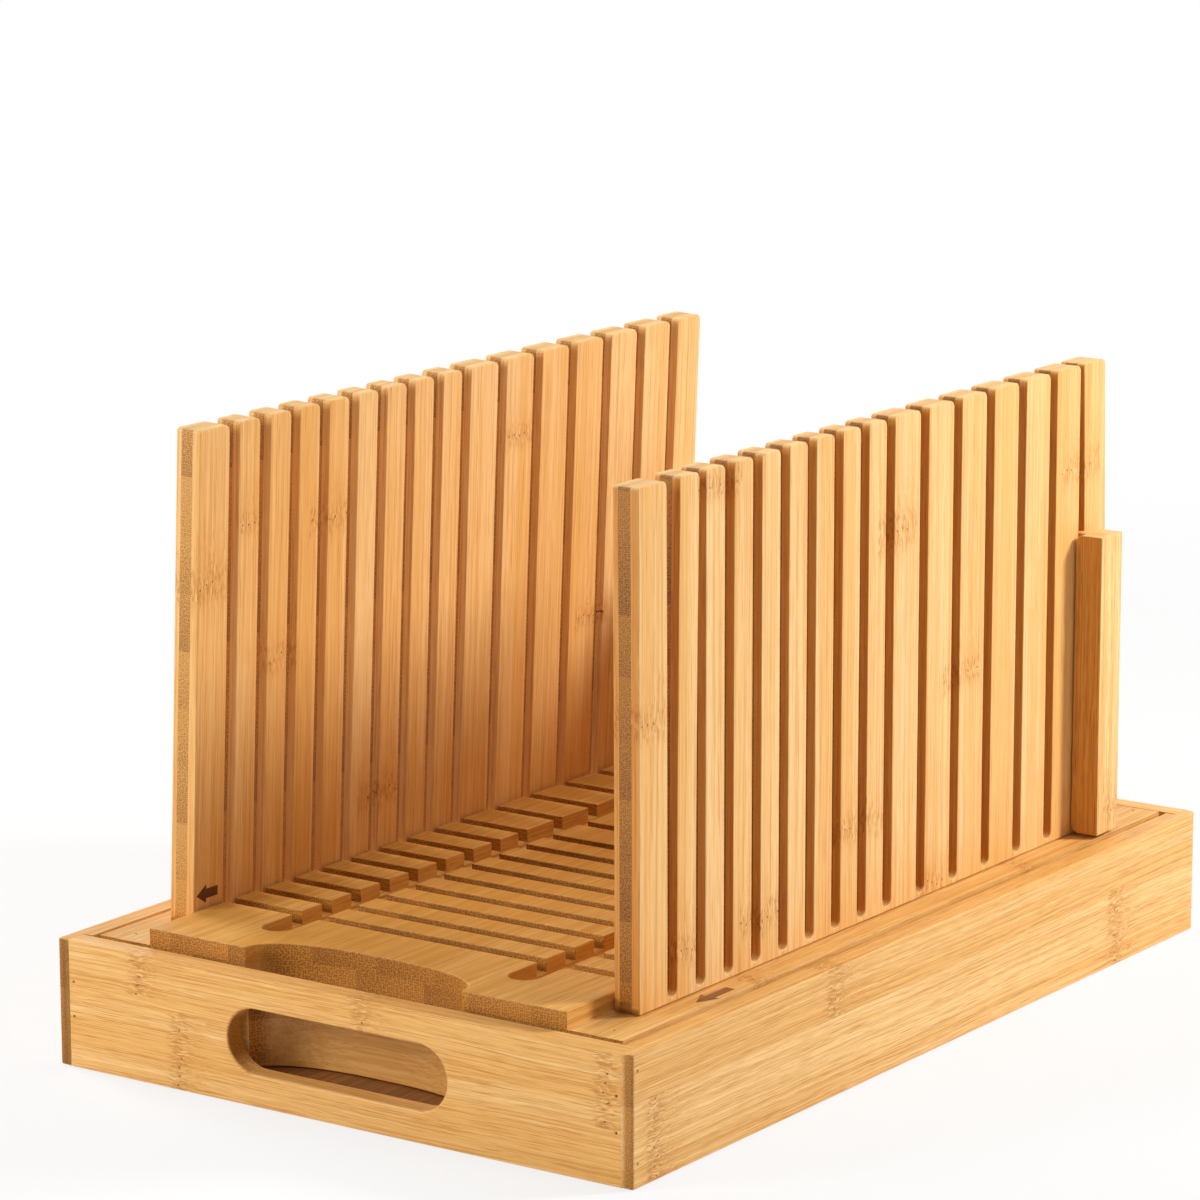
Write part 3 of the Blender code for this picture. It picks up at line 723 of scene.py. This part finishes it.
def makeBrads():
    steel = plainFinish("brad steel", colour(132, 84, 44), 0.5, 0.5)
    for name in sorted(frame["nodes"]):
        if "brad" not in name:
            continue
        low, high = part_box(name)
        way = bradWay(name)
        radius, length = brad["radius"] * mm, (high - low).dot(Vector(map(abs, way)))
        dome = brad["dome"] * mm
        profile = [(radius * 0.3, 0), (radius, length * 0.08), (radius, length - dome),
                   (radius * 0.8, length - dome / 2), (radius * 0.4, length)]
        foot = (low + high) / 2 - way * length / 2
        place = Matrix.Translation(foot) @ way.to_track_quat("Z", "Y").to_matrix().to_4x4()
        mesh = asMesh(name, turnedShape(profile))
        mesh.transform(place)
        body = "base" if name.startswith("rail") else "tray"
        addPiece(name.replace("_brad_", "Brad_"), mesh, body, [steel], [name])


makeBrads()
print("brads made")


# arrows burnt into the wood, which show which way the guides face
arrows = {
    "length": 17.0, "head": 7.0, "headWidth": 6.4, "shaftWidth": 3.2, "tipY": -106.9, "x": 87.3, "top": 38.0,
    "guideLength": 9.6, "guideHead": 4.4, "guideHeadWidth": 5.6, "guideShaft": 2.9, "guideTipY": -125.4,
    "guideHeight": 8.7, "sunk": 0.3, "proud": 0.02,
}


def arrowLoop(tip, length, head, headWidth, shaftWidth, aside):
    # pointing down the first axis
    outline = [(0, 0), (head, -headWidth / 2), (head, -shaftWidth / 2), (length, -shaftWidth / 2),
               (length, shaftWidth / 2), (head, shaftWidth / 2), (head, headWidth / 2)]
    return [Vector((tip + forward, aside + across)) * mm for forward, across in outline]


def makeArrows():
    char = bambooFinish("burnt mark", "y", "x", 20.0, seed=61.0, pale=colour(168, 112, 66),
                        warm=colour(148, 92, 50), line=colour(112, 64, 30))
    sunk, proud, top = arrows["sunk"] * mm, arrows["proud"] * mm, arrows["top"] * mm
    loop = arrowLoop(arrows["tipY"], arrows["length"], arrows["head"], arrows["headWidth"],
                     arrows["shaftWidth"], arrows["x"])
    shape = plateShape("z", top - sunk, top + proud, [list(reversed(swapped(loop)))], [0])
    addPiece("baseArrow", asMesh("base arrow", shape), "base", [char], [])
    charUpright = bambooFinish("burnt mark upright", "z", "y", 20.0, seed=63.0, pale=colour(120, 72, 38),
                               warm=colour(104, 60, 30), line=colour(70, 38, 16))
    loop = arrowLoop(arrows["guideTipY"], arrows["guideLength"], arrows["guideHead"], arrows["guideHeadWidth"],
                     arrows["guideShaft"], arrows["guideHeight"])
    shape = plateShape("x", -sunk, proud, [loop], [0])
    addPiece("guideArrow", asMesh("guide arrow", shape), "left_guide", [charUpright], [],
             place=leantPlace())


makeArrows()
print("arrows made")


# a pale floor that keeps the shadow, a small key lamp from the right and behind, and wider ones around
studio = {
    "floorColour": 0.86, "floorGlow": 0.76, "glowFrom": 0.2, "glowTo": 0.9, "surround": 0.10,
    "lamps": {
        "key lamp": {"place": (0.64, 0.45, 0.54), "size": 0.20, "power": 7.3, "tint": (1.0, 0.985, 0.96)},
        "front lamp": {"place": (-0.6, -0.95, 0.45), "size": 0.5, "power": 8.5, "tint": (1.0, 0.985, 0.96)},
        "left lamp": {"place": (-1.2, 0.1, 0.6), "size": 0.5, "power": 11.5, "tint": (1.0, 0.985, 0.96)},
        "right lamp": {"place": (0.9, -1.0, 0.6), "size": 0.5, "power": 1.6, "tint": (1.0, 0.985, 0.96)},
        "top lamp": {"place": (0.1, 0.1, 1.3), "size": 0.6, "power": 2.5, "tint": (1.0, 0.985, 0.96)},
    },
    "target": (0.0, 0.0, 0.07),
}


def addLamp(name, setting):
    lamp = bpy.data.lights.new(name, "AREA")
    lamp.shape = "DISK"
    lamp.size = setting["size"]
    lamp.energy = setting["power"]
    lamp.color = setting["tint"]
    holder = bpy.data.objects.new(name, lamp)
    bpy.context.scene.collection.objects.link(holder)
    holder.location = setting["place"]
    toward = Vector(studio["target"]) - holder.location
    holder.rotation_euler = toward.to_track_quat("-Z", "Y").to_euler()


def whiteToCamera(w):
    # 1 for what the camera, a reflection or a clear body shows of the surroundings
    rays = w.add("LightPath").outputs
    seen = w.calc("MAXIMUM", rays["Is Camera Ray"], rays["Is Glossy Ray"])
    return w.calc("MAXIMUM", seen, rays["Is Transmission Ray"])


def makeStudio():
    for name, setting in studio["lamps"].items():
        addLamp(name, setting)
    world = bpy.data.worlds.new("surround")
    bpy.context.scene.world = world
    world.use_nodes = True
    w = Wiring(world)
    background = world.node_tree.nodes["Background"]
    strength = w.between(whiteToCamera(w), 0.0, 1.0, studio["surround"], 1.0)
    w.tree.links.new(strength, background.inputs["Strength"])
    background.inputs["Color"].default_value = (1, 1, 1, 1)

    shape = boxes(((-6, -6, -0.02), (6, 6, -0.0003)))
    floor = bpy.data.objects.new("studio_floor", asMesh("studio floor", shape))
    bpy.context.scene.collection.objects.link(floor)
    paint = bpy.data.materials.new("floor paint")
    paint.use_nodes = True
    w = Wiring(paint)
    shader = paint.node_tree.nodes["Principled BSDF"]
    grey = studio["floorColour"]
    shader.inputs["Base Color"].default_value = (grey, grey, grey, 1)
    shader.inputs["Roughness"].default_value = 0.9
    shader.inputs["Specular IOR Level"].default_value = 0.0
    glow = w.add("Emission", {"Color": (1, 1, 1, 1), "Strength": 1.0}).outputs[0]
    position = w.add("NewGeometry").outputs["Position"]
    apart = w.add("VectorMath", {0: position}, operation="LENGTH").outputs["Value"]
    glowing = w.between(apart, studio["glowFrom"], studio["glowTo"], studio["floorGlow"], 1.0)
    shown = w.calc("MULTIPLY", whiteToCamera(w), glowing)
    mixed = w.add("MixShader", {0: shown, 1: shader.outputs[0], 2: glow}).outputs[0]
    w.tree.links.new(mixed, paint.node_tree.nodes["Material Output"].inputs["Surface"])
    floor.data.materials.append(paint)
    bpy.context.scene.view_settings.view_transform = "Standard"


makeStudio()
print("studio lit")
